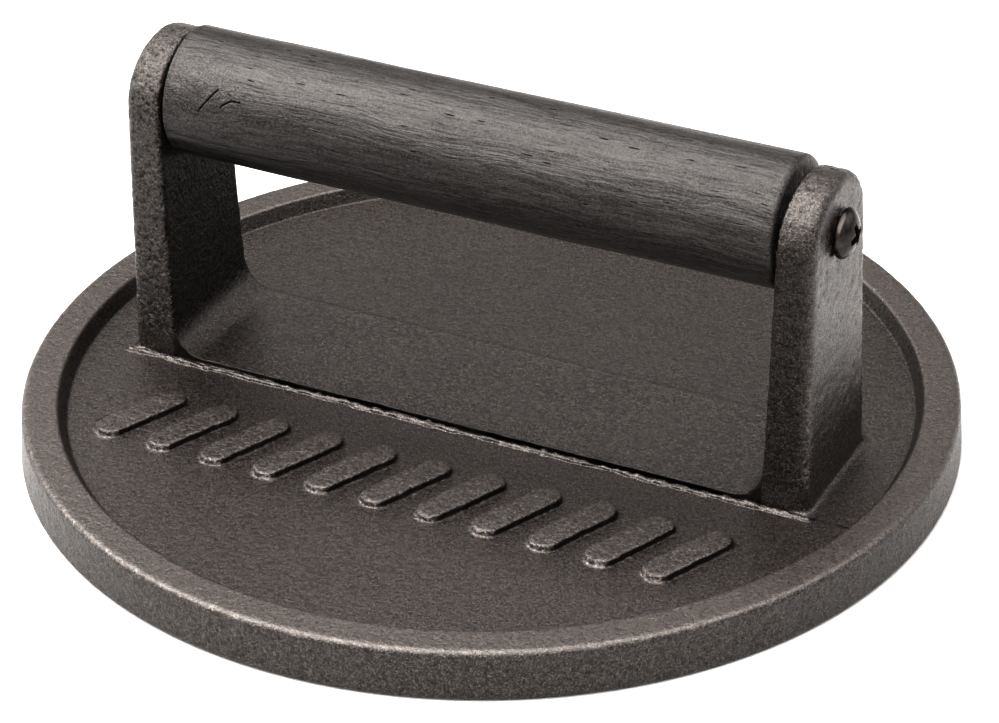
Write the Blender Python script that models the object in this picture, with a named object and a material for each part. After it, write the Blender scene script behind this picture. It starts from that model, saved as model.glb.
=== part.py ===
"""Cast-iron patty press with a turning wooden grip.

Frame: +Z up, origin at the centre of the plate's flat sole, grip along X, ornament on the -Y side.
All lengths are in metres.
"""
import math

import bmesh
import bpy
from mathutils import Matrix

# ---------------------------------------------------------------- driving dimensions
PLATE_R = 0.0825            # 165 mm across
PLATE_DRAFT = 0.0006        # the outer wall leans in by this much towards the top
RIM_TOP = 0.0090            # height of the rim ring
FLOOR_TOP = 0.0062          # height of the recessed floor
RING_IN_TOP = 0.0757        # inner radius of the ring's flat top
RING_IN_FLOOR = 0.0743      # radius where the sloping inner wall meets the floor
RIM_ROUND = 0.0018          # round on the outer top edge
SOLE_ROUND = 0.0007         # small round on the sole's edge
LATHE_STEPS = 96

BAR_TOP = 0.0072            # top of the foot bar
FRONT_FOOT_Y = -0.0127      # front and rear limits of the bar and of the posts' feet
REAR_FOOT_Y = 0.0142
BAR_EDGE = 0.0004           # bevel along the bar's long edges
POST_OUT_FOOT = 0.0648      # outer face at the foot
POST_OUT_TOP = 0.0642       # outer face at the grip's axis
POST_IN_FOOT = 0.0565       # inner face at the foot
POST_IN_TOP = 0.0575        # inner face at the grip's axis
POST_HALF_W_TOP = 0.0118    # half width where the half-round top begins
POST_APEX = 0.0641          # highest point of the posts
POST_EDGE_IN = 0.0009       # round on the posts' inner edges
POST_EDGE_OUT = 0.0017      # larger round on their outer edges
POST_FILLET = 0.0055        # inside radius between each post and the bar
FOOT_FILLET = 0.0014        # small flare where the posts' outer faces meet the floor
BEAD_W = 0.0011             # bead of flash along the front foot of the bar
BEAD_H = 0.0007

GRIP_AXIS_Z = 0.0540
GRIP_R = 0.0115
GRIP_HALF_L = 0.0567
GRIP_END_ROUND = 0.0009
GRIP_BORE_R = 0.0043
SLEEVE_R = 0.0040
SLEEVE_BORE_R = 0.0028
SLEEVE_HALF_L = 0.0571

SCREW_R = 0.0025            # M5 shank
SCREW_HOLE_R = 0.0028
SCREW_HEAD_R = 0.0043
SCREW_HEAD_H = 0.0027
SCREW_HEAD_SIDE = 0.0009    # straight part of the head's side
SCREW_UNDERHEAD_X = 0.0646
SCREW_TIP_X = 0.0450
RECESS_W = 0.0011           # width of each slot of the cross
RECESS_L = 0.0048           # its length
RECESS_D = 0.0016           # its depth below the crown

BAR_MARKS = 11              # raised slanted marks of the cast ornament
MARK_PITCH = 0.0104
MARK_Y = -0.0325            # centre line of the row
MARK_L = 0.0182
MARK_W = 0.0056
MARK_H = 0.0011
MARK_LEAN = math.radians(24)

# ---------------------------------------------------------------- helpers


def clear_scene():
    for old in list(bpy.data.objects):
        bpy.data.objects.remove(old, do_unlink=True)


def material(name, colour, roughness, metallic):
    mat = bpy.data.materials.new(name)
    mat.use_nodes = True
    shader = mat.node_tree.nodes["Principled BSDF"]
    shader.inputs["Base Color"].default_value = (*colour, 1.0)
    shader.inputs["Roughness"].default_value = roughness
    shader.inputs["Metallic"].default_value = metallic
    mat.diffuse_color = (*colour, 1.0)
    return mat


def add_object(name, bm, mat=None):
    bmesh.ops.recalc_face_normals(bm, faces=bm.faces)
    mesh = bpy.data.meshes.new(name)
    bm.to_mesh(mesh)
    bm.free()
    mesh.shade_smooth()
    mesh.set_sharp_from_angle(angle=math.radians(35))
    obj = bpy.data.objects.new(name, mesh)
    bpy.context.collection.objects.link(obj)
    if mat:
        mesh.materials.append(mat)
    return obj


def hide_tool(obj):
    obj.hide_render = True
    obj.display_type = "WIRE"


def add_boolean(obj, tool, operation):
    mod = obj.modifiers.new(f"{operation.lower()}_{tool.name}", "BOOLEAN")
    mod.operation = operation
    mod.solver = "EXACT"
    mod.object = tool
    hide_tool(tool)


def bridge_rings(bm, rings, closed=True):
    """Skin a list of equally long vertex rings; closed=False caps the two ends."""
    count = len(rings[0])
    for ring_a, ring_b in zip(rings, rings[1:]):
        for i in range(count):
            j = (i + 1) % count
            bm.faces.new((ring_a[i], ring_a[j], ring_b[j], ring_b[i]))
    if closed:
        ring_a, ring_b = rings[-1], rings[0]
        for i in range(count):
            j = (i + 1) % count
            bm.faces.new((ring_a[i], ring_a[j], ring_b[j], ring_b[i]))
    else:
        bm.faces.new(rings[0])
        bm.faces.new(rings[-1])


def lathe(profile, steps, closed):
    """Turn (radius, height) points about +Z."""
    bm = bmesh.new()
    rings = []
    for radius, height in profile:
        ring = []
        for i in range(steps):
            angle = 2 * math.pi * i / steps
            ring.append(bm.verts.new((radius * math.cos(angle), radius * math.sin(angle), height)))
        rings.append(ring)
    bridge_rings(bm, rings, closed)
    return bm


def arc(centre, radius, start, end, steps):
    """Points of a circular arc, angles in degrees, both ends included."""
    points = []
    for i in range(steps + 1):
        angle = math.radians(start + (end - start) * i / steps)
        points.append((centre[0] + radius * math.cos(angle), centre[1] + radius * math.sin(angle)))
    return points


def box(name, low, high):
    bm = bmesh.new()
    bmesh.ops.create_cube(bm, size=1.0)
    for vert in bm.verts:
        for axis in range(3):
            vert.co[axis] = low[axis] if vert.co[axis] < 0 else high[axis]
    return add_object(name, bm)


def prism_y(name, points, inset):
    """Extrude a closed XZ outline along Y over the bar's width, less an inset on each side."""
    bm = bmesh.new()
    front = [bm.verts.new((x, FRONT_FOOT_Y + inset, z)) for x, z in points]
    back = [bm.verts.new((x, REAR_FOOT_Y - inset, z)) for x, z in points]
    bridge_rings(bm, [front, back], closed=False)
    return add_object(name, bm)


# ---------------------------------------------------------------- iron casting


def plate_blank(mat):
    top_r = PLATE_R - PLATE_DRAFT
    profile = [(PLATE_R - SOLE_ROUND, 0.0)]
    profile += arc((PLATE_R - SOLE_ROUND, SOLE_ROUND), SOLE_ROUND, -45, 0, 1)
    profile += arc((top_r - RIM_ROUND, RIM_TOP - RIM_ROUND), RIM_ROUND, 0, 90, 4)
    profile += [
        (RING_IN_TOP + 0.0004, RIM_TOP),
        (RING_IN_TOP, RIM_TOP - 0.0003),
        (RING_IN_FLOOR, FLOOR_TOP + 0.0006),
        (RING_IN_FLOOR - 0.0009, FLOOR_TOP),
    ]
    return add_object("press_plate", lathe(profile, LATHE_STEPS, closed=False), mat)


def at_height(foot, top, z):
    """Value at height z of a face that runs straight from the floor to the grip's axis."""
    share = (z - FLOOR_TOP) / (GRIP_AXIS_Z - FLOOR_TOP)
    return foot + (top - foot) * share


def post_outline(inset):
    """Arch in the YZ plane: straight tapering sides below the grip's axis, a half-round above it."""
    foot_z = FLOOR_TOP - 0.002
    front = at_height(FRONT_FOOT_Y, -POST_HALF_W_TOP, foot_z) + inset
    rear = at_height(REAR_FOOT_Y, POST_HALF_W_TOP, foot_z) - inset
    half_top = POST_HALF_W_TOP - inset
    rise = POST_APEX - GRIP_AXIS_Z - inset
    points = [(front, foot_z)]
    for i in range(19):
        angle = math.pi - math.pi * i / 18
        points.append((half_top * math.cos(angle), GRIP_AXIS_Z + rise * math.sin(angle)))
    points.append((rear, foot_z))
    return points


def post(name, side):
    """One upright, its four long edges rounded; side is +1 or -1 along X."""
    bm = bmesh.new()
    rings = []
    near = POST_EDGE_IN
    far = POST_EDGE_OUT
    steps = [
        (POST_IN_FOOT, POST_IN_TOP, 0.0, near),
        (POST_IN_FOOT, POST_IN_TOP, near * 0.29, near * 0.29),
        (POST_IN_FOOT, POST_IN_TOP, near, 0.0),
        (POST_OUT_FOOT, POST_OUT_TOP, -far, 0.0),
        (POST_OUT_FOOT, POST_OUT_TOP, -far * 0.29, far * 0.29),
        (POST_OUT_FOOT, POST_OUT_TOP, 0.0, far),
    ]
    for foot_x, top_x, push, inset in steps:
        ring = []
        for y, z in post_outline(inset):
            ring.append(bm.verts.new((side * (at_height(foot_x, top_x, z) + push), y, z)))
        rings.append(ring)
    bridge_rings(bm, rings, closed=False)
    return add_object(name, bm)


def fillet_block(name, side):
    """Material of the concave round between a post's inner face and the bar."""
    corner_x = at_height(POST_IN_FOOT, POST_IN_TOP, BAR_TOP)
    points = [(corner_x + 0.003, BAR_TOP - 0.0006), (corner_x + 0.003, BAR_TOP + POST_FILLET)]
    points += arc((corner_x - POST_FILLET, BAR_TOP + POST_FILLET), POST_FILLET, 0, -90, 6)
    points.append((corner_x - POST_FILLET, BAR_TOP - 0.0006))
    return prism_y(name, [(side * x, z) for x, z in points], 0.0006)


def foot_bar():
    """The low bar across the floor, its upper edges bevelled, running on under both posts."""
    outline = [
        (FRONT_FOOT_Y, FLOOR_TOP - 0.002),
        (FRONT_FOOT_Y, BAR_TOP - BAR_EDGE),
        (FRONT_FOOT_Y + BAR_EDGE, BAR_TOP),
        (REAR_FOOT_Y - BAR_EDGE, BAR_TOP),
        (REAR_FOOT_Y, BAR_TOP - BAR_EDGE),
        (REAR_FOOT_Y, FLOOR_TOP - 0.002),
    ]
    bm = bmesh.new()
    reach = POST_IN_FOOT + 0.003
    left = [bm.verts.new((-reach, y, z)) for y, z in outline]
    right = [bm.verts.new((reach, y, z)) for y, z in outline]
    bridge_rings(bm, [left, right], closed=False)
    return add_object("tool_foot_bar", bm)


def foot_bead():
    """Low bead of casting flash along the bar's front foot."""
    front = FRONT_FOOT_Y - BEAD_W
    outline = [
        (front, FLOOR_TOP - 0.001),
        (front + BEAD_W * 0.3, FLOOR_TOP + BEAD_H * 0.8),
        (front + BEAD_W * 0.7, FLOOR_TOP + BEAD_H),
        (FRONT_FOOT_Y + 0.0006, FLOOR_TOP + BEAD_H * 0.6),
        (FRONT_FOOT_Y + 0.0006, FLOOR_TOP - 0.001),
    ]
    bm = bmesh.new()
    reach = POST_OUT_FOOT + 0.0006
    left = [bm.verts.new((-reach, y, z)) for y, z in outline]
    right = [bm.verts.new((reach, y, z)) for y, z in outline]
    bridge_rings(bm, [left, right], closed=False)
    return add_object("tool_foot_bead", bm)


def post_flare(name, side):
    """Small flare where a post's outer face runs into the floor."""
    corner_x = POST_OUT_FOOT
    points = [(corner_x - 0.003, FLOOR_TOP - 0.001), (corner_x - 0.003, FLOOR_TOP + FOOT_FILLET)]
    points += arc((corner_x + FOOT_FILLET, FLOOR_TOP + FOOT_FILLET), FOOT_FILLET, 180, 270, 3)
    points.append((corner_x + FOOT_FILLET, FLOOR_TOP - 0.001))
    return prism_y(name, [(side * x, z) for x, z in points], 0.0018)


def ornament_mark(name, centre_x):
    """One slanted raised mark with round ends and a sloping edge."""
    bm = bmesh.new()
    rings = []
    for grow, height in ((0.0003, FLOOR_TOP - 0.001), (0.0, FLOOR_TOP + MARK_H * 0.55), (-0.0006, FLOOR_TOP + MARK_H)):
        half_w = MARK_W / 2 + grow
        straight = (MARK_L - MARK_W) / 2
        ring = []
        for centre_y, start in ((straight, 0), (-straight, 180)):
            for x, y in arc((0.0, centre_y), half_w, start, start + 180, 6):
                ring.append(bm.verts.new((x, y, height)))
        rings.append(ring)
    bridge_rings(bm, rings, closed=False)
    turn = Matrix.Rotation(-MARK_LEAN, 4, "Z")
    bmesh.ops.transform(bm, matrix=Matrix.Translation((centre_x, MARK_Y, 0.0)) @ turn, verts=bm.verts)
    return add_object(name, bm)


def screw_hole(name, side):
    low_x = POST_IN_TOP - 0.004
    high_x = POST_OUT_TOP + 0.004
    bm = bmesh.new()
    rings = []
    for x in (low_x, high_x):
        ring = []
        for i in range(24):
            angle = 2 * math.pi * i / 24
            y = SCREW_HOLE_R * math.cos(angle)
            z = GRIP_AXIS_Z + SCREW_HOLE_R * math.sin(angle)
            ring.append(bm.verts.new((side * x, y, z)))
        rings.append(ring)
    bridge_rings(bm, rings, closed=False)
    return add_object(name, bm)


def build_casting(mat):
    casting = plate_blank(mat)
    add_boolean(casting, foot_bar(), "UNION")
    for label, side in (("left", -1), ("right", 1)):
        add_boolean(casting, post(f"tool_post_{label}", side), "UNION")
        add_boolean(casting, fillet_block(f"tool_fillet_{label}", side), "UNION")
        add_boolean(casting, post_flare(f"tool_flare_{label}", side), "UNION")
    add_boolean(casting, foot_bead(), "UNION")
    for i in range(BAR_MARKS):
        centre_x = (i - (BAR_MARKS - 1) / 2) * MARK_PITCH
        add_boolean(casting, ornament_mark(f"tool_mark_{i + 1:02d}", centre_x), "UNION")
    for label, side in (("left", -1), ("right", 1)):
        add_boolean(casting, screw_hole(f"tool_hole_{label}", side), "DIFFERENCE")
    return casting


# ---------------------------------------------------------------- grip, sleeve and screws


def turned_on_x(name, profile, steps, closed, mat, parent, side=1):
    """Turn (radius, x) points about the grip's axis; side -1 faces the piece the other way."""
    bm = lathe(profile, steps, closed)
    bmesh.ops.rotate(bm, verts=bm.verts, matrix=Matrix.Rotation(math.radians(90), 3, "Y"))
    if side < 0:
        bmesh.ops.rotate(bm, verts=bm.verts, matrix=Matrix.Rotation(math.radians(180), 3, "Z"))
    obj = add_object(name, bm, mat)
    obj.parent = parent
    return obj


def build_grip(mat, parent):
    end = GRIP_HALF_L
    edge = GRIP_END_ROUND
    profile = arc((GRIP_R - edge, end - edge), edge, 90, 0, 3)
    profile += arc((GRIP_R - edge, -end + edge), edge, 0, -90, 3)
    profile += [(GRIP_BORE_R, -end), (GRIP_BORE_R, end)]
    return turned_on_x("wood_grip", profile, 48, True, mat, parent)


def build_sleeve(mat, parent):
    end = SLEEVE_HALF_L
    profile = [(SLEEVE_R, end), (SLEEVE_R, -end), (SLEEVE_BORE_R, -end), (SLEEVE_BORE_R, end)]
    return turned_on_x("handle_sleeve", profile, 32, True, mat, parent)


def build_screw(label, side, mat, parent):
    head = SCREW_UNDERHEAD_X
    rise = SCREW_HEAD_H - SCREW_HEAD_SIDE
    crown_r = (SCREW_HEAD_R ** 2 + rise ** 2) / (2 * rise)
    crown_centre = head + SCREW_HEAD_H - crown_r
    profile = [(SCREW_R - 0.0008, SCREW_TIP_X), (SCREW_R, SCREW_TIP_X + 0.0008), (SCREW_R, head)]
    profile += [(SCREW_HEAD_R, head), (SCREW_HEAD_R, head + SCREW_HEAD_SIDE)]
    for share in (0.8, 0.6, 0.4, 0.15):
        radius = SCREW_HEAD_R * share
        profile.append((radius, crown_centre + math.sqrt(crown_r ** 2 - radius ** 2)))
    screw = turned_on_x(f"screw_{label}", profile, 32, False, mat, parent, side)
    top = head + SCREW_HEAD_H
    floor = top - RECESS_D
    for number, (half_y, half_z) in enumerate(((RECESS_W / 2, RECESS_L / 2), (RECESS_L / 2, RECESS_W / 2))):
        low_x, high_x = (floor, top + 0.001) if side > 0 else (-top - 0.001, -floor)
        slot = box(f"tool_recess_{label}_{number}", (low_x, -half_y, -half_z), (high_x, half_y, half_z))
        slot.parent = parent
        add_boolean(screw, slot, "DIFFERENCE")
    return screw


def main():
    clear_scene()
    iron = material("cast_iron", (0.045, 0.040, 0.037), 0.62, 0.55)
    wood = material("stained_wood", (0.022, 0.021, 0.021), 0.48, 0.0)
    screw_steel = material("black_screw_steel", (0.050, 0.047, 0.045), 0.30, 0.9)
    sleeve_steel = material("plain_steel", (0.42, 0.42, 0.43), 0.35, 1.0)

    build_casting(iron)

    axis = bpy.data.objects.new("grip_axis", None)
    axis.location = (0.0, 0.0, GRIP_AXIS_Z)
    bpy.context.collection.objects.link(axis)
    build_grip(wood, axis)
    build_sleeve(sleeve_steel, axis)
    for label, side in (("left", -1), ("right", 1)):
        build_screw(label, side, screw_steel, axis)


main()
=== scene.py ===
"""Looks of the cast-iron patty press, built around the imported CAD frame.

Lengths in the shape functions are in millimetres; meshes are written in metres, in the CAD frame:
+Z up, origin at the centre of the sole, the grip along X and the cast ornament on the -Y side.
"""

import math

import bpy
import bmesh
import numpy as np
from mathutils import Matrix, Vector


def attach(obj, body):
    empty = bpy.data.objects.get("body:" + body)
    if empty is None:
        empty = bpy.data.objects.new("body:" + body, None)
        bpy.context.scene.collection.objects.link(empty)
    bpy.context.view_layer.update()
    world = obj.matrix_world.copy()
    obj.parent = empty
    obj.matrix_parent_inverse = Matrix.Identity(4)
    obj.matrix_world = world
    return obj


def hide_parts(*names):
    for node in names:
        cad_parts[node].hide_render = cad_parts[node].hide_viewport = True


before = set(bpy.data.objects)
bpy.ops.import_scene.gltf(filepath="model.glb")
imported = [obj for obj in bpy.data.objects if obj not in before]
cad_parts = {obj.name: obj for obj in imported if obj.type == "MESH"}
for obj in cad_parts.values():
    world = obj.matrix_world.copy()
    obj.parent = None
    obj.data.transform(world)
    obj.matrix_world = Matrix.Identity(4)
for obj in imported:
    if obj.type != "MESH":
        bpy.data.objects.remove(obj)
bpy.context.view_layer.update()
MM = 0.001

# ---------------------------------------------------------------- dimensions of the casting, mm
PLATE_R, PLATE_DRAFT = 82.5, 0.6
RIM_TOP, FLOOR_TOP, BAR_TOP = 9.0, 6.2, 7.2
CAVITY_R_TOP, CAVITY_R_FLOOR = 75.7, 74.2
FRONT_FOOT, REAR_FOOT = -12.7, 14.2
POST_OUT_FOOT, POST_OUT_TOP = 64.8, 64.2
POST_IN_FOOT, POST_IN_TOP = 56.5, 57.5
POST_HALF_TOP = 11.8
AXIS_Z = 54.0
POST_FILLET = 5.5
HOLE_R = 2.8
MARKS, MARK_PITCH, MARK_Y = 11, 10.4, -32.5
MARK_L, MARK_W, MARK_H, MARK_LEAN = 18.2, 5.6, 1.2, math.radians(24)
APEX_LEFT, APEX_RIGHT = 64.5, 63.7          # the right post is cast slightly lower
POST_ROUND_LEFT, POST_ROUND_RIGHT = 1.5, 2.1
LOW_PARTS_TOP = 9.5                         # marks, bead and gap all lie below this height
CUT_Z = 0.8                                 # the field is sampled above this; rings close the sole below it
SOLE_RINGS = ((82.45, 0.62), (82.3, 0.3), (82.05, 0.1), (81.8, 0.0), (70.0, 0.0), (50.0, 0.0), (25.0, 0.0))

# ---------------------------------------------------------------- dimensions of the grip and the screws, mm
GRIP_R, GRIP_BORE = 11.5, 4.3
GRIP_LEFT, GRIP_RIGHT = -57.05, 56.75
GRIP_ROUND = (0.55, 1.15)
# hairline checks beside the knot: (x, degrees up from the front), widest in the middle of each
CHECKS = (((-46.6, 35), (-47.5, 29), (-48.2, 24), (-49.0, 19), (-49.9, 12)),
          ((-45.7, 20), (-44.8, 24), (-43.8, 27), (-42.0, 28)))
KNOT_X, KNOT_DEGREES = -49.5, 24
UNDER_HEAD, HEAD_R, HEAD_SIDE, HEAD_H = 64.6, 4.3, 0.9, 2.7
TIP_X, THREAD_START, THREAD_END, THREAD_PITCH = 45.0, 45.8, 57.0, 0.8
SHANK_R, THREAD_ROOT_R, TIP_R = 2.45, 2.1, 1.7
CLOSED_R = 0.02                             # radius of the tiny caps that close a turned shape
SCREW_AROUND = 96


# ---------------------------------------------------------------- smooth noise on arrays of points
def _hash(ix, iy, iz, seed):
    n = ix * 73856093 ^ iy * 19349663 ^ iz * 83492791 ^ (seed * 2654435761 & 0x7FFFFFFF)
    n = (n ^ (n >> 13)) * 1274126177 & 0x7FFFFFFF
    n = (n ^ (n >> 15)) * 2246822519 & 0x7FFFFFFF
    return ((n ^ (n >> 16)) & 0xFFFFFF) / float(0x7FFFFF) - 1.0


def value_noise(p, size, seed):
    """Smooth noise in -1..1 whose bumps are about `size` mm wide; p is an (n, 3) array."""
    q = np.asarray(p, dtype=np.float64) / size + 1000.0
    i = np.floor(q).astype(np.int64)
    f = q - i
    f = f * f * f * (f * (f * 6 - 15) + 10)
    total = 0.0
    for dx in (0, 1):
        wx = f[:, 0] if dx else 1 - f[:, 0]
        for dy in (0, 1):
            wy = f[:, 1] if dy else 1 - f[:, 1]
            for dz in (0, 1):
                wz = f[:, 2] if dz else 1 - f[:, 2]
                total = total + wx * wy * wz * _hash(i[:, 0] + dx, i[:, 1] + dy, i[:, 2] + dz, seed)
    return total


def fractal(p, size, octaves, seed):
    total = 0.0
    weight = 1.0
    for k in range(octaves):
        total = total + weight * value_noise(p, size / 2 ** k, seed + 17 * k)
        weight *= 0.5
    return total / (2 - 2 ** (1 - octaves))


def smoothstep(low, high, x):
    t = np.clip((x - low) / (high - low), 0.0, 1.0)
    return t * t * (3 - 2 * t)


# ---------------------------------------------------------------- distance field of the casting
def round_max(a, b, radius):
    """Intersection of two solids with its outside edge rounded."""
    return np.minimum(-radius, np.maximum(a, b)) + np.hypot(np.maximum(a + radius, 0), np.maximum(b + radius, 0))


def round_min(a, b, radius):
    """Union of two solids with its inside corner filled."""
    return np.maximum(radius, np.minimum(a, b)) - np.hypot(np.maximum(radius - a, 0), np.maximum(radius - b, 0))


def plate_field(x, y, z):
    r = np.hypot(x, y)
    wall = r - (PLATE_R - PLATE_DRAFT * z / RIM_TOP)
    blank = round_max(wall, z - RIM_TOP, 1.05)
    cavity_r = CAVITY_R_FLOOR + (CAVITY_R_TOP - CAVITY_R_FLOOR) * (z - FLOOR_TOP) / (RIM_TOP - FLOOR_TOP)
    cavity = round_max(r - cavity_r, FLOOR_TOP - z, 0.12)
    return round_max(blank, -cavity, 0.22)


def straight(foot, top, z):
    return foot + (top - foot) * (z - FLOOR_TOP) / (AXIS_Z - FLOOR_TOP)


def bracket_field(x, y, z):
    """Foot bar and both posts as one U, with rounds at the corners and on the edges."""
    ax = np.abs(x)
    inner = round_min(straight(POST_IN_FOOT, POST_IN_TOP, z) - ax, z - BAR_TOP, POST_FILLET)
    front = straight(FRONT_FOOT, -POST_HALF_TOP, z) - y
    rear = y - straight(REAR_FOOT, POST_HALF_TOP, z)
    sides = np.maximum(front, rear)
    apex = np.where(x < 0, APEX_LEFT, APEX_RIGHT)
    arch = (np.hypot(y / POST_HALF_TOP, (z - AXIS_Z) / (apex - AXIS_Z)) - 1) * 10.8
    outline = np.where(z > AXIS_Z, arch, sides)
    edge = 0.12 + 0.70 * smoothstep(8.0, 16.0, z)
    body = round_max(inner, outline, edge)
    outer_edge = np.where(x < 0, POST_ROUND_LEFT, POST_ROUND_RIGHT)
    body = round_max(body, ax - straight(POST_OUT_FOOT, POST_OUT_TOP, z), outer_edge)
    hole = HOLE_R - np.hypot(y, z - AXIS_Z)
    return np.maximum(body, np.where(ax > 50, hole, -99.0))


def ornament_field(x, y, z):
    """Distance to the nearest of the slanted, round-ended raised marks."""
    lean_x, lean_y = math.sin(MARK_LEAN), math.cos(MARK_LEAN)
    half = (MARK_L - MARK_W) / 2
    dy = y - MARK_Y
    index = np.clip(np.round((x - dy * math.tan(MARK_LEAN)) / MARK_PITCH), -(MARKS // 2), MARKS // 2)
    dx = x - index * MARK_PITCH
    along = np.clip(dx * lean_x + dy * lean_y, -half, half)
    here = np.stack([x, y, z], -1).reshape(-1, 3)
    ragged = value_noise(here, 2.6, 81) + 0.6 * value_noise(here, 1.2, 82)
    flat = np.hypot(dx - along * lean_x, dy - along * lean_y) - MARK_W / 2 + 0.16 * ragged.reshape(x.shape)
    sloped = flat + (z - FLOOR_TOP) * 0.12
    return round_max(sloped, z - (FLOOR_TOP + MARK_H), 0.35)


def bead_field(x, y, z):
    """Rough bead of flash along the front foot of the bar."""
    line = np.stack([x, np.zeros_like(x), np.zeros_like(x)], -1).reshape(-1, 3)
    wobble = value_noise(line, 3.1, 5).reshape(x.shape)
    swell = value_noise(line, 1.3, 6).reshape(x.shape) + 0.6 * value_noise(line, 6.0, 7).reshape(x.shape)
    nubs = value_noise(np.stack([x, y * 2, z * 2], -1).reshape(-1, 3), 0.9, 10).reshape(x.shape)
    centre_y = FRONT_FOOT - 0.95 + 0.15 * wobble
    radius = 0.52 + 0.17 * swell + 0.20 * nubs
    reach = np.maximum(np.abs(x) - (POST_OUT_FOOT + 0.3), 0)
    return np.sqrt((y - centre_y) ** 2 + (z - FLOOR_TOP - 0.10) ** 2 + reach ** 2) - radius


def gap_field(x, y, z):
    """Shrinkage gap between the bead and the bar; it closes towards the ends."""
    line = np.stack([x, np.zeros_like(x), np.zeros_like(x)], -1).reshape(-1, 3)
    wobble = value_noise(line, 4.0, 8).reshape(x.shape)
    swell = value_noise(line, 2.2, 9).reshape(x.shape)
    open_here = smoothstep(-50.0, -22.0, x) * smoothstep(57.0, 46.0, x)
    radius = 0.45 * open_here + 0.19 * swell - 0.04
    return np.hypot(y - (FRONT_FOOT - 0.28 + 0.10 * wobble), (z - FLOOR_TOP - 0.15) * 0.8) - radius


def casting_field(x, y, z):
    plate = plate_field(x, y, z)
    low = z < LOW_PARTS_TOP
    plate = round_min(plate, np.where(low, ornament_field(x, y, z), 5.0), 0.2)
    bracket = bracket_field(x, y, z)
    outer = smoothstep(60.0, 64.0, np.abs(x))
    foot = 0.12 + 1.3 * np.maximum(smoothstep(8.0, 14.0, y), 0.7 * outer)
    body = round_min(plate, bracket, foot)
    body = round_min(body, np.where(low, bead_field(x, y, z), 5.0), 0.12)
    return np.maximum(body, np.where(low, -gap_field(x, y, z), -5.0))


# ---------------------------------------------------------------- surface nets on an uneven grid
def grid_line(*parts):
    """Grid positions from (start, end, step) runs laid end to end."""
    out = []
    for start, end, step in parts:
        count = max(1, int(round((end - start) / step)))
        out += [start + (end - start) * i / count for i in range(count)]
    out.append(parts[-1][1])
    return np.array(out)


def surface_nets(field, place):
    """Vertices and quads of field = 0, one vertex for each grid cell that the surface crosses.

    place(i, j, k) gives the positions of grid corners.
    """
    solid = field < 0
    count = np.zeros(tuple(n - 1 for n in field.shape), np.int8)
    for dx in (0, 1):
        for dy in (0, 1):
            for dz in (0, 1):
                count += solid[dx:dx + count.shape[0], dy:dy + count.shape[1], dz:dz + count.shape[2]]
    cells = np.argwhere((count > 0) & (count < 8))
    number = np.full(count.shape, -1, np.int32)
    number[cells[:, 0], cells[:, 1], cells[:, 2]] = np.arange(len(cells))
    total = np.zeros((len(cells), 3))
    hits = np.zeros(len(cells))
    for axis in range(3):
        others = [a for a in range(3) if a != axis]
        for da in (0, 1):
            for db in (0, 1):
                low = cells.copy()
                low[:, others[0]] += da
                low[:, others[1]] += db
                high = low.copy()
                high[:, axis] += 1
                f0 = field[low[:, 0], low[:, 1], low[:, 2]]
                f1 = field[high[:, 0], high[:, 1], high[:, 2]]
                cross = (f0 < 0) != (f1 < 0)
                t = np.where(cross, f0 / np.where(cross, f0 - f1, 1.0), 0.0)
                point = place(*low.T) * (1 - t[:, None]) + place(*high.T) * t[:, None]
                total += np.where(cross[:, None], point, 0.0)
                hits += cross
    points = total / hits[:, None]
    quads = []
    for axis in range(3):
        b, c = (axis + 1) % 3, (axis + 2) % 3
        first = [slice(None)] * 3
        second = [slice(None)] * 3
        first[axis], second[axis] = slice(0, -1), slice(1, None)
        change = solid[tuple(first)] != solid[tuple(second)]
        edge = np.argwhere(change)
        keep = (edge[:, b] > 0) & (edge[:, c] > 0)
        keep &= (edge[:, b] < field.shape[b] - 1) & (edge[:, c] < field.shape[c] - 1)
        edge = edge[keep]
        ring = []
        for db, dc in ((-1, -1), (0, -1), (0, 0), (-1, 0)):
            cell = edge.copy()
            cell[:, b] += db
            cell[:, c] += dc
            ring.append(number[cell[:, 0], cell[:, 1], cell[:, 2]])
        quad = np.stack(ring, -1)
        inside_first = solid[edge[:, 0], edge[:, 1], edge[:, 2]]
        quad[~inside_first] = quad[~inside_first][:, ::-1]
        quads.append(quad)
    return points, np.concatenate(quads)


def field_gradient(function, p, step=0.02):
    grad = np.zeros_like(p)
    for axis in range(3):
        shift = np.zeros(3)
        shift[axis] = step
        a, b = p + shift, p - shift
        grad[:, axis] = (function(a[:, 0], a[:, 1], a[:, 2]) - function(b[:, 0], b[:, 1], b[:, 2])) / (2 * step)
    return grad


def settle(function, p, rounds=2):
    """Pull points onto the surface, at most 0.25 mm a round."""
    for _ in range(rounds):
        value = function(p[:, 0], p[:, 1], p[:, 2])
        grad = field_gradient(function, p)
        size = np.maximum((grad ** 2).sum(1), 0.05)
        move = np.clip(value / size, -0.25, 0.25)
        p = p - grad * move[:, None]
    return p


# ---------------------------------------------------------------- meshes
def new_object(name, verts, faces, smooth_angle=None):
    mesh = bpy.data.meshes.new(name)
    mesh.from_pydata((np.asarray(verts) * MM).tolist(), [], [tuple(int(i) for i in f) for f in faces])
    mesh.validate()
    mesh.update()
    mesh.shade_smooth()
    if smooth_angle:
        mesh.set_sharp_from_angle(angle=math.radians(smooth_angle))
    obj = bpy.data.objects.new(name, mesh)
    bpy.context.collection.objects.link(obj)
    return obj


def set_attribute(obj, name, values):
    layer = obj.data.attributes.new(name, "FLOAT", "POINT")
    layer.data.foreach_set("value", np.asarray(values, dtype=np.float32))


def mesh_vectors(obj, source):
    """Vertex positions or normals of a mesh as an (n, 3) array, in mesh units."""
    flat = np.empty(len(obj.data.vertices) * 3)
    obj.data.vertices.foreach_get(source, flat)
    return flat.reshape(-1, 3)


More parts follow.
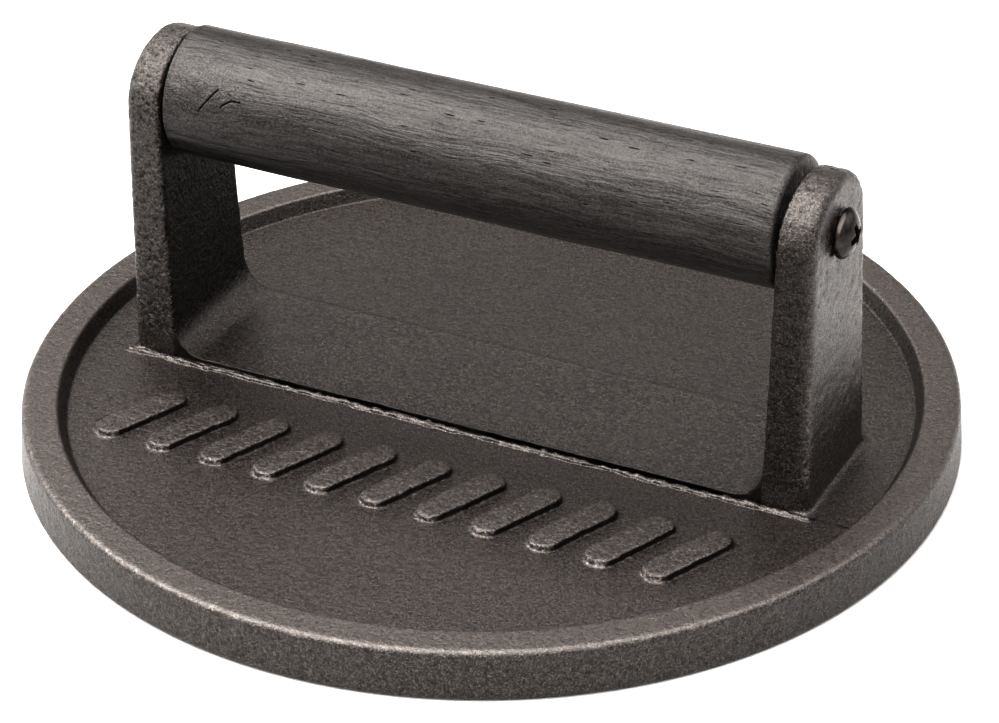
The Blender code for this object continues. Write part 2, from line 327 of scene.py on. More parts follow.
def face_outwards(mesh):
    bm = bmesh.new()
    bm.from_mesh(mesh)
    bmesh.ops.recalc_face_normals(bm, faces=bm.faces)
    bm.to_mesh(mesh)
    bm.free()


def ring_warp(u, v):
    """Bend square grid lines into circles towards the rim, so that they follow its edges."""
    m = np.maximum(np.abs(u), np.abs(v))
    blend = smoothstep(10.0, 72.0, m)
    shrink = 1 - blend + blend * m / np.maximum(np.hypot(u, v), 1e-6)
    return u * shrink, v * shrink


def casting_surface():
    """Points and quads of the casting above CUT_Z, from its distance field on a fitted grid."""
    c = 1.0
    outer_runs = ((72.8, 73.7, 0.5 * c), (73.7, 76.5, 0.33 * c), (76.5, 80.7, 1.0 * c), (80.7, 83.1, 0.30 * c))
    inner_runs = tuple((-end, -start, step) for start, end, step in reversed(outer_runs))
    gx = grid_line(*inner_runs, (-72.8, -68, 0.9 * c), (-68, -49, 0.5 * c), (-49, 49, 0.68 * c), (49, 68, 0.5 * c),
                   (68, 72.8, 0.9 * c), *outer_runs)
    gy = grid_line(*inner_runs, (-72.8, -51, 1.05 * c), (-51, -22, 0.55 * c), (-22, -15.4, 0.8 * c),
                   (-15.4, -12.0, 0.2 * c), (-12.0, 13, 0.8 * c), (13, 17, 0.45 * c), (17, 72.8, 1.1 * c), *outer_runs)
    gz = grid_line((CUT_Z, 5.5, 0.95 * c), (5.5, 9.3, 0.25 * c), (9.3, 66.0, 0.58 * c))
    u, v = np.meshgrid(gx, gy, indexing="ij")
    node_x, node_y = ring_warp(u, v)
    field = np.full((len(gx), len(gy), len(gz)), 9.0, np.float32)
    # the whole plate up to 14 mm, and only the two posts above that
    split = int(np.searchsorted(gz, 14.0))
    for k in range(split):
        field[:, :, k] = casting_field(node_x, node_y, np.full_like(node_x, gz[k]))
    ys = np.flatnonzero((gy > -19) & (gy < 20))
    for low, high in ((-72, -44), (44, 72)):
        xs = np.flatnonzero((gx > low) & (gx < high))
        bx = np.repeat(node_x[np.ix_(xs, ys)][:, :, None], len(gz) - split, axis=2)
        by = np.repeat(node_y[np.ix_(xs, ys)][:, :, None], len(gz) - split, axis=2)
        bz = np.broadcast_to(gz[split:], bx.shape)
        field[np.ix_(xs, ys, np.arange(split, len(gz)))] = casting_field(bx, by, bz)
    points, quads = surface_nets(field, lambda i, j, k: np.stack([node_x[i, j], node_y[i, j], gz[k]], -1))
    at_cut = points[:, 2] < gz[1] + 0.01
    settled = settle(casting_field, points.copy())
    settled[at_cut, 2] = points[at_cut, 2]
    return settled, quads


def sandy_skin(points):
    """Push the points in and out along the surface normals, as the sand mould leaves the iron."""
    normal = field_gradient(casting_field, points)
    normal /= np.maximum(np.linalg.norm(normal, axis=1, keepdims=True), 1e-6)
    x, y, z = points.T
    r = np.hypot(x, y)
    on_post = smoothstep(9.0, 13.0, z)
    on_rim = smoothstep(73.5, 75.5, r)
    near_mark = smoothstep(2.2, -0.6, ornament_field(x, y, np.full_like(z, FLOOR_TOP)))
    near_bead = smoothstep(1.8, 0.5, np.abs(y - FRONT_FOOT + 0.4)) * (np.abs(x) < 66) * (z < 8.5)
    on_wall = smoothstep(81.0, 82.0, r)
    coarse = np.clip(0.12 + 0.88 * on_post + 0.12 * on_rim + 0.35 * on_wall + 0.6 * near_mark + 0.8 * near_bead, 0, 1)
    grain = fractal(points, 1.5, 2, 11)
    pits = np.minimum(value_noise(points, 1.15, 31) + 0.30, 0.0)
    swell = fractal(points, 14.0, 2, 51)
    lift = coarse * (0.085 * grain + (0.16 + 0.12 * on_post) * pits) + 0.08 * swell * (0.30 + 0.70 * on_post)
    lift += 0.06 * near_mark * value_noise(points, 2.3, 71)
    return points + normal * lift[:, None]


def close_sole(mesh):
    """Close the open underside with rings that follow the cut's outline, round the edge and inwards."""
    bm = bmesh.new()
    bm.from_mesh(mesh)
    rim_edges = [e for e in bm.edges if e.is_boundary]
    for radius, height in SOLE_RINGS:
        made = bmesh.ops.extrude_edge_only(bm, edges=rim_edges)["geom"]
        rim_edges = [g for g in made if isinstance(g, bmesh.types.BMEdge) and g.is_boundary]
        for vert in {v for e in rim_edges for v in e.verts}:
            planar = math.hypot(vert.co.x, vert.co.y)
            vert.co.x *= radius * MM / planar
            vert.co.y *= radius * MM / planar
            vert.co.z = height * MM
    bmesh.ops.holes_fill(bm, edges=rim_edges, sides=0)
    bmesh.ops.recalc_face_normals(bm, faces=bm.faces)
    # the extrusions come in an order that varies from run to run
    bm.verts.index_update()
    for parts in (bm.edges, bm.faces):
        ordered = sorted(parts, key=lambda part: sorted(vert.index for vert in part.verts))
        ranks = {part: rank for rank, part in enumerate(ordered)}
        parts.sort(key=lambda part: ranks[part])
    bm.to_mesh(mesh)
    bm.free()
    for poly in mesh.polygons:
        poly.use_smooth = True


def paint_casting(obj):
    """Write the attributes that the iron material reads.

    coarse: how rough the skin is; wear: bright bare metal on worn edges, and painted highlight on the bead and on
    sides that face the light; grime: painted shade in the gap, corners and shaded faces; rim: paler on the rim's top
    and mark tops, with painted highlight on the post tops.
    """
    p = mesh_vectors(obj, "co") / MM
    facing = mesh_vectors(obj, "normal")
    x, y, z = p.T
    r = np.hypot(x, y)
    on_post = smoothstep(8.5, 12.0, z)
    on_rim = smoothstep(74.6, 76.2, r)
    near_mark = smoothstep(1.2, -0.4, ornament_field(x, y, np.full_like(z, FLOOR_TOP))) * (z > 5.8)
    on_wall = smoothstep(81.2, 82.0, r)
    outer_face = on_post * smoothstep(0.75, 0.95, facing[:, 0] * np.sign(x)) * smoothstep(62.0, 63.5, np.abs(x))
    inner_face = on_post * smoothstep(0.6, 0.95, -facing[:, 0] * np.sign(x))

    post_side = on_post * np.where(x < 0, 0.80, 0.38)
    coarse = 0.12 + post_side + 0.10 * on_rim + 0.26 * on_wall + 0.35 * near_mark - 0.45 * outer_face
    set_attribute(obj, "coarse", np.clip(coarse, 0, 1))

    patchy = 0.5 + 0.5 * value_noise(p, 9.0, 91)
    broken = smoothstep(-0.15, 0.55, value_noise(p, 1.1, 93) + 0.5 * value_noise(p, 3.6, 94))
    top_edge = np.exp(-((r - 81.45) / 0.42) ** 2) * smoothstep(7.7, 8.5, z) * (1 - on_post) * (0.10 + 0.62 * broken)
    # painted highlight: the worn top edge is brighter towards the front left, where the light falls
    front_left = 0.25 + 0.75 * smoothstep(30, -60, x * 0.8 + y * 0.6)
    wear_and_highlight = top_edge * front_left * (0.6 + 0.4 * patchy)
    halfway_up = ornament_field(x, y, np.full_like(z, FLOOR_TOP + 0.5))
    mark_side = smoothstep(0.55, 0.15, np.abs(halfway_up))
    mark_side = mark_side * (z > FLOOR_TOP - 0.1) * (z < FLOOR_TOP + 1.0) * (r < 74)
    # lee: the mark sides that face away from the light, which get painted shade below
    lee = smoothstep(-0.15, 0.45, facing[:, 0] * 0.8 + facing[:, 1] * 0.6)
    # painted highlight on the mark sides that face the light
    wear_and_highlight = np.maximum(wear_and_highlight, 0.95 * mark_side * smoothstep(0.1, 0.5, -facing[:, 0] * 0.5 - facing[:, 1] * 0.8))
    # painted highlight: the bead along the bar's front foot is lightened in patches
    bead = smoothstep(1.1, 0.5, np.abs(y - FRONT_FOOT + 0.95)) * (np.abs(x) < 66)
    bead = bead * smoothstep(FLOOR_TOP + 0.1, FLOOR_TOP + 0.4, z) * (z < 7.4)
    wear_and_highlight = np.maximum(wear_and_highlight, bead * (0.04 + 0.46 * smoothstep(-0.05, 0.6, value_noise(p, 0.8, 95))))
    # brightened in patches along the posts' outer front edges
    post_edge = on_post * np.exp(-((np.abs(x) - 64.2) / 0.9) ** 2) * smoothstep(-10.6, -11.6, y)
    wear_and_highlight = np.maximum(wear_and_highlight, 0.5 * post_edge * patchy)
    set_attribute(obj, "wear_and_highlight", np.clip(wear_and_highlight, 0, 1))

    # painted shade: near black in the gap between the bead and the bar
    gap = smoothstep(0.30, 0.05, gap_field(x, y, z)) * (z < 7.6) * (z > 4.0)
    # painted shade along the bar's front edge, on the rim's inner wall and on the posts' inner faces
    bar_edge = smoothstep(0.45, 0.12, np.abs(y - FRONT_FOOT)) * (np.abs(x) < 57)
    bar_edge = bar_edge * (z > 6.6) * smoothstep(16.0, 10.0, z)
    inner_wall = smoothstep(73.7, 74.2, r) * smoothstep(76.0, 75.5, r)
    inner_wall = inner_wall * smoothstep(8.9, 8.5, z) * (z > FLOOR_TOP - 0.1)
    shaded = np.maximum(np.maximum(0.70 * bar_edge, 0.34 * inner_wall), 0.60 * inner_face)
    # painted shade on the right post's front face, a little lighter near its top
    right_front = on_post * (x > 0) * smoothstep(0.5, 0.9, -facing[:, 1]) * (0.32 - 0.10 * smoothstep(58.0, 63.0, z))
    shaded = np.maximum(shaded, right_front)
    # painted shade also on the mark sides that face away from the light
    set_attribute(obj, "painted_shade", np.maximum(np.maximum(gap, 0.85 * mark_side * lee), shaded))

    mark_top = (halfway_up < -0.2) * (r < 73) * smoothstep(FLOOR_TOP + 0.8, FLOOR_TOP + 1.1, z) * (y < -20)
    # painted highlight: the post tops are lighter, the left post more than the right
    crown = on_post * smoothstep(56.0, 62.0, z) * np.where(x < 0, 0.62, 0.12)
    lighter = on_rim * (1 - on_post) * smoothstep(8.3, 8.8, z)
    set_attribute(obj, "rim", np.maximum(np.maximum(lighter, crown), 0.45 * mark_top))


def build_casting():
    points, quads = casting_surface()
    obj = new_object("cast_body", sandy_skin(points), quads)
    close_sole(obj.data)
    paint_casting(obj)
    return obj


def turned(sections, angles):
    """Skin rings about the grip's axis. sections: (x, radius); the first and last ring are joined."""
    verts = []
    for x, radius in sections:
        y, z = radius * np.cos(angles), AXIS_Z + radius * np.sin(angles)
        verts.append(np.stack([np.full_like(angles, x), y, z], -1))
    n, m = len(sections), len(angles)
    verts = np.concatenate(verts)
    i = np.arange(n)[:, None]
    j = np.arange(m)[None, :]
    i2, j2 = (i + 1) % n, (j + 1) % m
    quads = np.stack([i * m + j, i * m + j2, i2 * m + j2, i2 * m + j], -1).reshape(-1, 4)
    return verts, quads


def check_depth(x, degrees):
    """How deep the hairline checks are cut at each point, 0 to 1."""
    arc = np.radians(degrees) * GRIP_R
    depth = np.zeros_like(x)
    for check in CHECKS:
        path = [(px, math.radians(deg) * GRIP_R) for px, deg in check]
        for n, ((x0, a0), (x1, a1)) in enumerate(zip(path, path[1:])):
            dx, da = x1 - x0, a1 - a0
            t = np.clip(((x - x0) * dx + (arc - a0) * da) / (dx * dx + da * da), 0, 1)
            gap = np.hypot(x - x0 - t * dx, arc - a0 - t * da)
            share = (n + t) / (len(path) - 1)
            width = 0.05 + 0.13 * np.sin(math.pi * (0.12 + 0.76 * share))
            depth = np.maximum(depth, smoothstep(width, 0.3 * width, gap))
    return depth


def build_grip():
    c = 1.0
    xs = grid_line((GRIP_LEFT + 0.7, -50.6, 0.30 * c), (-50.6, -41.4, 0.13 * c), (-41.4, GRIP_RIGHT - 1.3, 0.6 * c))
    angles = np.radians(grid_line((0, 136, 1.5 * c), (136, 174, 0.6 * c), (174, 360, 1.5 * c))[:-1])
    around = len(angles)
    sections = []
    left, right = GRIP_ROUND
    for k in range(7):
        a = math.radians(90 * k / 6)
        sections.append((GRIP_LEFT + left - left * math.cos(a), GRIP_R - left + left * math.sin(a)))
    sections += [(x, GRIP_R) for x in xs]
    for k in range(8):
        a = math.radians(90 - 90 * k / 7)
        sections.append((GRIP_RIGHT - right + right * math.cos(a), GRIP_R - right + right * math.sin(a)))
    body = len(sections)
    sections += [(GRIP_RIGHT, 8.0), (GRIP_RIGHT, GRIP_BORE), (0.0, GRIP_BORE)]
    sections += [(GRIP_LEFT, GRIP_BORE), (GRIP_LEFT, 8.0)]
    verts, quads = turned(sections, angles)
    outer = np.arange(len(verts)) < body * around
    p = verts[outer]
    x = p[:, 0]
    degrees = np.degrees(np.arctan2(p[:, 2] - AXIS_Z, -p[:, 1]))
    radial = p - np.array([1, 0, 0]) * p[:, :1] - np.array([0, 0, AXIS_Z])
    radial /= np.maximum(np.linalg.norm(radial, axis=1, keepdims=True), 1e-6)
    wave = np.stack([x * 0.22, p[:, 1], p[:, 2]], -1)
    off_knot = np.clip(np.abs(degrees - KNOT_DEGREES), 0, 90)
    near_knot = np.exp(-((x - KNOT_X) / 7.0) ** 2 - (off_knot / 32.0) ** 2)
    lift = 0.10 * value_noise(wave, 4.2, 3) + 0.03 * value_noise(p * np.array([0.06, 1, 1]), 0.8, 4)
    lift += 0.10 * value_noise(p, 17.0, 9) - 0.10
    lift += near_knot * (0.16 * value_noise(p, 3.4, 12) + 0.05 * value_noise(p, 1.2, 13))
    lift -= 0.30 * check_depth(x, degrees)
    inside = smoothstep(GRIP_LEFT, GRIP_LEFT + 1.2, x) * smoothstep(GRIP_RIGHT, GRIP_RIGHT - 2.0, x)
    verts[outer] = p + radial * (lift * inside)[:, None]
    obj = new_object("grip_dowel", verts, quads, 50)
    bore_and_ends = np.zeros(len(verts) - len(p))
    set_attribute(obj, "check", np.concatenate([check_depth(x, degrees), bore_and_ends]))
    set_attribute(obj, "knot", np.concatenate([near_knot, bore_and_ends]))
    return obj


def screw_profile(side):
    """Tip, threaded shank and domed head of an M5 screw, as (x, radius)."""
    rise = HEAD_H - HEAD_SIDE
    crown = (HEAD_R ** 2 + rise ** 2) / (2 * rise)
    points = [(TIP_X, CLOSED_R), (TIP_X, TIP_R), (THREAD_START, SHANK_R)]
    thread = THREAD_START
    while thread < THREAD_END:
        points += [(thread + 0.2, THREAD_ROOT_R), (thread + 0.4, SHANK_R), (thread + 0.6, SHANK_R)]
        thread += THREAD_PITCH
    points += [(58.0, SHANK_R), (UNDER_HEAD, SHANK_R), (UNDER_HEAD, HEAD_R - 0.2)]
    points += [(UNDER_HEAD + 0.2, HEAD_R), (UNDER_HEAD + HEAD_SIDE - 0.15, HEAD_R)]
    for k in range(12):
        radius = HEAD_R * (1 - k / 12) - 0.10 * (k < 1)
        points.append((UNDER_HEAD + HEAD_H - crown + math.sqrt(crown ** 2 - radius ** 2), radius))
    points.append((UNDER_HEAD + HEAD_H, CLOSED_R))
    return [(side * x, r) for x, r in points]


def build_screw(name, side):
    angles = np.linspace(0, 2 * math.pi, SCREW_AROUND, endpoint=False)
    sections = screw_profile(side)
    verts, quads = turned(sections, angles)
    first_cap = list(range(SCREW_AROUND))[::-1]
    last_cap = list(range(len(verts) - SCREW_AROUND, len(verts)))
    obj = new_object(name, verts, list(quads[:-SCREW_AROUND]) + [first_cap, last_cap])
    face_outwards(obj.data)
    cutter = build_recess(name + "_tool", side)
    mod = obj.modifiers.new("recess", "BOOLEAN")
    mod.operation = "DIFFERENCE"
    mod.object = cutter
    mod.solver = "EXACT"
    bpy.context.view_layer.update()
    mesh = bpy.data.meshes.new_from_object(obj.evaluated_get(bpy.context.evaluated_depsgraph_get()))
    obj.modifiers.clear()
    obj.data = mesh
    bm = bmesh.new()
    bm.from_mesh(mesh)
    bmesh.ops.remove_doubles(bm, verts=bm.verts, dist=3e-6)
    bmesh.ops.dissolve_degenerate(bm, edges=bm.edges, dist=2e-6)
    bmesh.ops.holes_fill(bm, edges=[e for e in bm.edges if e.is_boundary], sides=0)
    bmesh.ops.recalc_face_normals(bm, faces=bm.faces)
    bm.to_mesh(mesh)
    bm.free()
    mesh.shade_smooth()
    mesh.set_sharp_from_angle(angle=math.radians(35))
    bpy.data.objects.remove(cutter)
    return obj


def build_recess(name, side):
    """Tapered four-winged cross, deepest in the middle."""
    top, floor = UNDER_HEAD + 2.9, UNDER_HEAD + 1.0
    rings = []
    for x, reach, half in ((top, 2.5, 0.60), (floor + 0.5, 1.6, 0.48), (floor, 0.6, 0.30)):
        ring = []
        for k in range(4):
            a = math.pi / 2 * k + math.radians(14)
            u = np.array([math.cos(a), math.sin(a)])
            v = np.array([-math.sin(a), math.cos(a)])
            inner = u * half * 1.25 - v * half * 1.25
            for q in (inner, u * reach - v * half, u * reach + v * half):
                ring.append((side * x, q[0], AXIS_Z + q[1]))
        rings.append(ring)
    verts = np.array([q for ring in rings for q in ring])
    m = len(rings[0])
    faces = [list(range(m)), list(range(2 * m, 3 * m))[::-1]]
    for i in range(2):
        for j in range(m):
            k = (j + 1) % m
            faces.append([i * m + j, i * m + k, (i + 1) * m + k, (i + 1) * m + j])
    obj = new_object(name, verts, faces)
    face_outwards(obj.data)
    return obj


# ---------------------------------------------------------------- materials
class Nodes:
    """Short forms for building one material's node tree."""

    def __init__(self, name):
        self.mat = bpy.data.materials.new(name)
        self.mat.use_nodes = True
        self.tree = self.mat.node_tree
        self.tree.nodes.clear()
        self.out = self.add("ShaderNodeOutputMaterial")
        self.shader = self.add("ShaderNodeBsdfPrincipled")
        self.link(self.shader.outputs["BSDF"], self.out.inputs["Surface"])
        self.coord = self.add("ShaderNodeTexCoord").outputs["Object"]

    def add(self, kind):
        return self.tree.nodes.new(kind)

    def link(self, a, b):
        self.tree.links.new(a, b)

    def put(self, value, socket):
        if isinstance(value, (int, float, tuple)):
            socket.default_value = value
        else:
            self.link(value, socket)

    def mapped(self, scale, vector=None):
        node = self.add("ShaderNodeMapping")
        node.inputs["Scale"].default_value = scale
        self.put(vector if vector is not None else self.coord, node.inputs["Vector"])
        return node.outputs["Vector"]

    def noise(self, size_mm, detail=2.0, rough=0.5, vector=None, distortion=0.0):
        node = self.add("ShaderNodeTexNoise")
        node.inputs["Scale"].default_value = 1000.0 / size_mm
        node.inputs["Detail"].default_value = detail
        node.inputs["Roughness"].default_value = rough
        node.inputs["Distortion"].default_value = distortion
        self.put(vector if vector is not None else self.coord, node.inputs["Vector"])
        return node.outputs["Fac"]

    def voronoi(self, size_mm, vector=None):
        node = self.add("ShaderNodeTexVoronoi")
        node.feature = "F1"
        node.inputs["Scale"].default_value = 1000.0 / size_mm
        self.put(vector if vector is not None else self.coord, node.inputs["Vector"])
        return node.outputs["Distance"]

    def ramp(self, value, low, high, out_low=0.0, out_high=1.0, smooth=True):
        node = self.add("ShaderNodeMapRange")
        node.interpolation_type = "SMOOTHSTEP" if smooth else "LINEAR"
        self.put(value, node.inputs["Value"])
        self.put(low, node.inputs["From Min"])
        self.put(high, node.inputs["From Max"])
        self.put(out_low, node.inputs["To Min"])
        self.put(out_high, node.inputs["To Max"])
        return node.outputs["Result"]

    def math(self, kind, a, b=0.0):
        node = self.add("ShaderNodeMath")
        node.operation = kind
        self.put(a, node.inputs[0])
        self.put(b, node.inputs[1])
        return node.outputs[0]

    def product(self, first, *others):
        for other in others:
            first = self.math("MULTIPLY", first, other)
        return first

    def less(self, level, mask):
        """level reduced by the share that mask gives."""
        return self.math("MULTIPLY", level, self.math("SUBTRACT", 1.0, mask))

    def mix(self, factor, a, b):
        node = self.add("ShaderNodeMix")
        node.data_type = "RGBA"
        self.put(factor, node.inputs["Factor"])
        self.put(a if not isinstance(a, tuple) else (*a, 1.0), node.inputs[6])
        self.put(b if not isinstance(b, tuple) else (*b, 1.0), node.inputs[7])
        return node.outputs[2]

    def attribute(self, name):
        node = self.add("ShaderNodeAttribute")
        node.attribute_name = name
        return node.outputs["Fac"]

    def bump(self, height, distance_mm, strength=1.0, normal=None):
        node = self.add("ShaderNodeBump")
        self.put(strength, node.inputs["Strength"])
        node.inputs["Distance"].default_value = distance_mm * MM
        self.put(height, node.inputs["Height"])
        if normal is not None:
            self.put(normal, node.inputs["Normal"])
        return node.outputs["Normal"]


def iron_material():
    n = Nodes("cast_iron_sandy")
    coarse, wear_and_highlight, painted_shade, rim = (n.attribute(a) for a in ("coarse", "wear_and_highlight", "painted_shade", "rim"))
    grit = n.noise(0.27, 2.0, 0.7)
    fine = n.noise(0.75, 3.0, 0.65)
    sand = n.noise(0.95, 4.0, 0.66)
    blotch = n.noise(22.0, 3.0, 0.55)
    tone = n.mix(n.ramp(blotch, 0.32, 0.68), (0.0050, 0.0038, 0.0034), (0.0078, 0.0062, 0.0056))
    tone = n.mix(n.ramp(grit, 0.50, 0.66), tone, (0.066, 0.057, 0.052))
    hollows = n.product(n.ramp(fine, 0.50, 0.36), n.ramp(coarse, 0.0, 1.0, 0.45, 1.0))
    tone = n.mix(hollows, tone, (0.0018, 0.0014, 0.0013))
    tone = n.mix(n.product(n.ramp(sand, 0.47, 0.38), coarse), tone, (0.0012, 0.0009, 0.0008))
    # paler on the rim's top and the mark tops, with painted highlight on the post tops
    tone = n.mix(n.product(rim, 0.50), tone, (0.034, 0.0285, 0.0255))
    # bare worn metal and painted highlight: bright specks, then a lighter tone
    speck = n.ramp(n.noise(0.62, 2.0, 0.75), 0.50, 0.60)
    tone = n.mix(n.product(speck, wear_and_highlight), tone, (0.22, 0.207, 0.197))
    tone = n.mix(n.product(wear_and_highlight, 0.25), tone, (0.075, 0.066, 0.060))
    # painted shade: near black where the shade mask is set
    tone = n.mix(painted_shade, tone, (0.0005, 0.0004, 0.0004))
    n.put(tone, n.shader.inputs["Base Color"])
    rough = n.ramp(fine, 0.3, 0.7, 0.19, 0.34)
    rough = n.math("ADD", rough, n.product(rim, 0.06))
    n.put(n.math("ADD", rough, n.product(painted_shade, 0.15)), n.shader.inputs["Roughness"])

    # gloss: bright on the grit's tops, low in pits, hollows and where shade is painted
    pits = n.product(n.ramp(sand, 0.45, 0.35), coarse)
    dips = n.product(n.ramp(fine, 0.48, 0.34), n.ramp(coarse, 0.0, 1.0, 0.10, 0.60))
    level = n.math("ADD", n.ramp(grit, 0.38, 0.64, 0.55, 1.12), n.product(rim, 0.22))
    level = n.less(level, n.product(pits, 0.62))
    level = n.less(level, dips)
    level = n.less(level, n.product(painted_shade, 0.85))
    n.put(level, n.shader.inputs["Specular IOR Level"])
    n.shader.inputs["Specular Tint"].default_value = (1.0, 0.945, 0.905, 1.0)

    normal = n.bump(sand, 0.62, n.ramp(coarse, 0.0, 1.0, 0.06, 1.0, smooth=False))
    normal = n.bump(fine, 0.18, n.ramp(coarse, 0.0, 1.0, 0.40, 0.9, smooth=False), normal)
    normal = n.bump(grit, 0.07, 1.0, normal)
    n.put(normal, n.shader.inputs["Normal"])
    return n.mat


def wood_material():
    n = Nodes("stained_dowel_wood")
    check, knot = n.attribute("check"), n.attribute("knot")

    # the grain's coordinates: drifting a little, and swirling at the knot
    drift = n.add("ShaderNodeTexNoise")
    drift.inputs["Scale"].default_value = 1000.0 / 19.0
    n.link(n.coord, drift.inputs["Vector"])
    centred = n.add("ShaderNodeVectorMath")
    centred.operation = "SUBTRACT"
    n.link(drift.outputs["Color"], centred.inputs[0])
    centred.inputs[1].default_value = (0.5, 0.5, 0.5)
    amount = n.add("ShaderNodeVectorMath")
    amount.operation = "SCALE"
    n.link(centred.outputs["Vector"], amount.inputs[0])
    n.put(n.ramp(knot, 0.0, 1.0, 0.0030, 0.014, smooth=False), amount.inputs["Scale"])
    bent = n.add("ShaderNodeVectorMath")
    n.link(n.coord, bent.inputs[0])
    n.link(amount.outputs["Vector"], bent.inputs[1])
    along = bent.outputs["Vector"]

    figure = n.noise(3.4, 3.0, 0.6, n.mapped((0.09, 1.0, 1.0), along), 0.8)
    streak = n.noise(1.0, 4.0, 0.65, n.mapped((0.06, 1.0, 1.0), along))
    fibre = n.noise(0.40, 3.0, 0.7, n.mapped((0.06, 1.0, 1.0), along))
    pore = n.voronoi(0.75, n.mapped((0.10, 1.0, 1.0), along))
    leather = n.noise(0.32, 2.0, 0.7)
    plain = n.ramp(knot, 0.10, 0.65, 1.0, 0.15)
    pore_mask = n.product(n.ramp(pore, 0.17, 0.08), n.ramp(streak, 0.46, 0.58), plain)
    tone = n.mix(n.ramp(figure, 0.32, 0.68), (0.0070, 0.0063, 0.0060), (0.0125, 0.0115, 0.0110))
    tone = n.mix(n.product(n.ramp(streak, 0.47, 0.62), 0.45), tone, (0.030, 0.028, 0.0267))
    between_fibres = n.product(n.ramp(fibre, 0.48, 0.36), plain)
    tone = n.mix(n.product(between_fibres, 0.7), tone, (0.0030, 0.0027, 0.0026))
    grained = n.product(n.ramp(leather, 0.48, 0.64), n.ramp(knot, 0.0, 0.6, 0.60, 0.95))
    tone = n.mix(grained, tone, (0.040, 0.037, 0.0352))
    tone = n.mix(pore_mask, tone, (0.0010, 0.0009, 0.0008))
    # painted shade: the hairline checks are near black inside
    tone = n.mix(check, tone, (0.0004, 0.0003, 0.0003))
    n.put(tone, n.shader.inputs["Base Color"])
    n.put(n.ramp(streak, 0.3, 0.7, 0.24, 0.38), n.shader.inputs["Roughness"])

    # gloss: satin on the streaks, low between fibres, in pores and in the checks
    rough_skin = n.product(n.ramp(leather, 0.52, 0.38), n.ramp(knot, 0.0, 0.6, 0.26, 0.50))
    level = n.product(n.ramp(streak, 0.40, 0.60, 0.56, 0.61), n.ramp(figure, 0.30, 0.70, 0.86, 1.08))
    level = n.less(level, n.product(between_fibres, 0.30))
    level = n.less(level, rough_skin)
    level = n.less(level, n.math("MAXIMUM", pore_mask, check))
    n.put(level, n.shader.inputs["Specular IOR Level"])
    n.shader.inputs["Specular Tint"].default_value = (1.0, 0.97, 0.955, 1.0)

    groove = n.math("SUBTRACT", n.product(fibre, 0.8), pore_mask)
    normal = n.bump(figure, 0.40, 0.8)
    normal = n.bump(groove, 0.17, plain, normal)
    normal = n.bump(leather, 0.13, n.ramp(knot, 0.0, 0.5, 0.35, 1.0), normal)
    n.put(normal, n.shader.inputs["Normal"])
    return n.mat


def steel_material(name, dark, light, rough):
    n = Nodes(name)
    smear = n.noise(2.6, 3.0, 0.6)
    fine = n.noise(0.35, 2.0, 0.6)
    tone = n.mix(n.ramp(smear, 0.35, 0.65), dark, light)
    n.put(tone, n.shader.inputs["Base Color"])
    n.shader.inputs["Metallic"].default_value = 1.0
    n.put(n.ramp(smear, 0.3, 0.7, rough - 0.07, rough + 0.09), n.shader.inputs["Roughness"])
    n.put(n.bump(fine, 0.02, 0.6), n.shader.inputs["Normal"])
    return n.mat


def give(obj, mat):
    obj.data.materials.clear()
    obj.data.materials.append(mat)


# ---------------------------------------------------------------- the press
casting = build_casting()
give(casting, iron_material())
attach(casting, "press")
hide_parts("press_plate")

grip = build_grip()
give(grip, wood_material())
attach(grip, "grip")
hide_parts("wood_grip")

screw_finish = steel_material("black_screw_steel", (0.040, 0.036, 0.034), (0.085, 0.078, 0.074), 0.26)
for label, side in (("left", -1), ("right", 1)):
    screw = build_screw(f"pan_screw_{label}", side)
    give(screw, screw_finish)
    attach(screw, "press")
    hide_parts(f"screw_{label}")

sleeve_finish = steel_material("drawn_steel", (0.32, 0.32, 0.33), (0.48, 0.48, 0.49), 0.34)
give(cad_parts["handle_sleeve"], sleeve_finish)

# ---------------------------------------------------------------- stage, light and camera
FLOOR_SIZE = 6.0
FLOOR_DROP = 0.0001          # keeps the floor just clear of the sole
WARM_WHITE = (1.0, 0.98, 0.965)
CAMERA_ROLL = math.radians(-0.807)

floor_mesh = bpy.data.meshes.new("stage_floor")
h = FLOOR_SIZE / 2
floor_mesh.from_pydata([(-h, -h, 0), (h, -h, 0), (h, h, 0), (-h, h, 0)], [], [(0, 1, 2, 3)])
floor = bpy.data.objects.new("stage_floor", floor_mesh)
bpy.context.collection.objects.link(floor)
paper = Nodes("pale_paper")
paper.put(paper.mix(paper.noise(40.0, 2.0), (0.46, 0.46, 0.46), (0.49, 0.49, 0.49)), paper.shader.inputs["Base Color"])
paper.shader.inputs["Roughness"].default_value = 0.9
paper.shader.inputs["Specular IOR Level"].default_value = 0.1
give(floor, paper.mat)
floor.location.z = -FLOOR_DROP


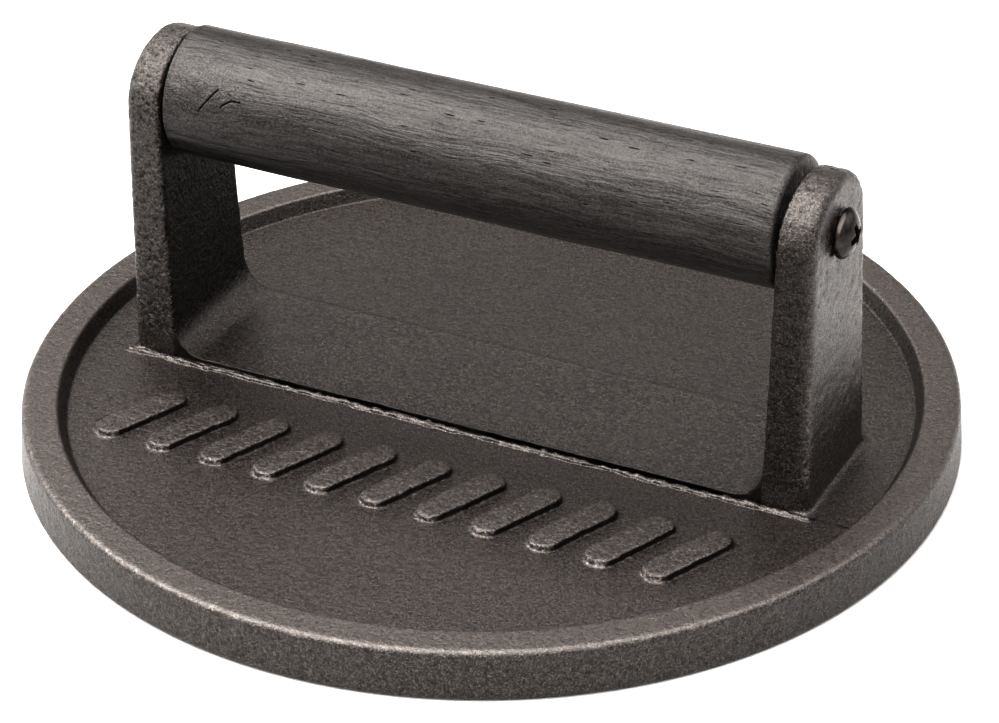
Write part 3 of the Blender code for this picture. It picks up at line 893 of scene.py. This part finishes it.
def area_light(name, location, target, size, power):
    data = bpy.data.lights.new(name, "AREA")
    data.energy = power
    data.color = WARM_WHITE
    data.size = size
    obj = bpy.data.objects.new(name, data)
    obj.location = location
    obj.rotation_euler = (Vector(target) - Vector(location)).to_track_quat("-Z", "Y").to_euler()
    bpy.context.collection.objects.link(obj)


area_light("softbox_top", (-0.05, -0.28, 1.0), (0.0, 0.0, 0.05), 2.3, 51.0)
area_light("softbox_left", (-1.10, -0.25, 0.85), (-0.2, -0.1, 0.0), 1.1, 11.0)
area_light("softbox_right", (1.15, 0.85, 0.70), (0.25, 0.35, 0.0), 1.0, 3.2)

world = bpy.data.worlds.new("soft_room")
bpy.context.scene.world = world
world.use_nodes = True
room = world.node_tree
direction = room.nodes.new("ShaderNodeTexCoord")
facing = room.nodes.new("ShaderNodeVectorMath")
facing.operation = "DOT_PRODUCT"
room.links.new(direction.outputs["Generated"], facing.inputs[0])
facing.inputs[1].default_value = (-0.25, 0.55, 0.80)
glow = room.nodes.new("ShaderNodeMapRange")
glow.interpolation_type = "SMOOTHSTEP"
glow.inputs["From Min"].default_value = -0.5
glow.inputs["From Max"].default_value = 0.8
glow.inputs["To Min"].default_value = 0.30
glow.inputs["To Max"].default_value = 0.38
room.links.new(facing.outputs["Value"], glow.inputs["Value"])
room.links.new(glow.outputs["Result"], room.nodes["Background"].inputs["Strength"])
room.nodes["Background"].inputs["Color"].default_value = (*WARM_WHITE, 1.0)
view = bpy.context.scene.view_settings
view.view_transform = "Standard"
view.gamma = 0.69
view.exposure = 0.92

camera_data = bpy.data.cameras.new("camera")
camera_data.sensor_width = 36.0
camera_data.lens = 139.8
camera_data.clip_end = 50.0
camera = bpy.data.objects.new("camera", camera_data)
camera.location = (0.25997, -0.51738, 0.36538)
aim = (Vector((-0.00119, 0.00593, 0.00925)) - camera.location).to_track_quat("-Z", "Y")
camera.rotation_euler = (aim.to_matrix() @ Matrix.Rotation(CAMERA_ROLL, 3, "Z")).to_euler()
bpy.context.collection.objects.link(camera)
bpy.context.scene.camera = camera
